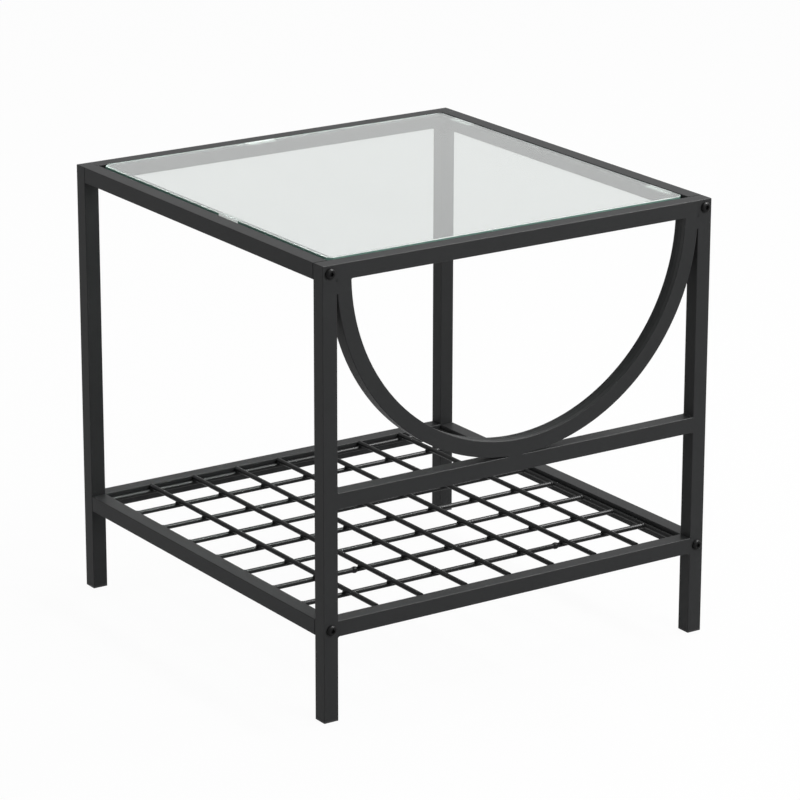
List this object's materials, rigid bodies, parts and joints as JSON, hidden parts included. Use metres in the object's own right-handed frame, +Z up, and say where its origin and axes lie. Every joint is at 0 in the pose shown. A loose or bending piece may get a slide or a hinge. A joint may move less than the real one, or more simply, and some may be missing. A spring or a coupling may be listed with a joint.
{
  "type": "side table",
  "caption": "Square black steel side table with a drop-in glass top, a half ring in its front frame and a wire shelf near the floor.",
  "frame": {"origin": "on the floor, at the middle of the footprint", "axes": "+Z up, +X to the right seen from the front, -Y the front frame with the half ring"},
  "size_m": [0.451, 0.4646, 0.451],
  "materials": {
    "frame_paint": "satin black powder coat",
    "wire_paint": "satin black powder coat",
    "clear_glass": "clear float glass with a green edge",
    "clear_pad": "clear soft pad",
    "black_bolt": "black oxide",
    "plug_steel": "zinc plated",
    "foot_plastic": "matte black moulding"
  },
  "bodies": {
    "frame": {"front_left_leg": "frame_paint", "front_right_leg": "frame_paint", "rear_left_leg": "frame_paint", "rear_right_leg": "frame_paint", "front_top_rail": "frame_paint", "rear_top_rail": "frame_paint", "left_top_rail": "frame_paint", "right_top_rail": "frame_paint", "front_shelf_rail": "frame_paint", "rear_shelf_rail": "frame_paint", "left_shelf_rail": "frame_paint", "right_shelf_rail": "frame_paint", "front_mid_bar": "frame_paint", "half_ring": "frame_paint", "front_glass_ledge": "frame_paint", "rear_glass_ledge": "frame_paint", "left_glass_ledge": "frame_paint", "right_glass_ledge": "frame_paint", "shelf_cross_wires": "wire_paint", "shelf_long_wires": "wire_paint", "glass_pads": "clear_pad", "frame_bolts": "black_bolt", "rail_end_plugs": "plug_steel", "front_left_foot": "foot_plastic", "front_right_foot": "foot_plastic", "rear_left_foot": "foot_plastic", "rear_right_foot": "foot_plastic"},
    "glass": {"glass_pane": "clear_glass"}
  },
  "joints": [
    {"name": "glass_lift", "type": "slide", "parent": "frame", "child": "glass", "axis": [0, 0, 1], "range_m": [0, 0.06]}
  ]
}
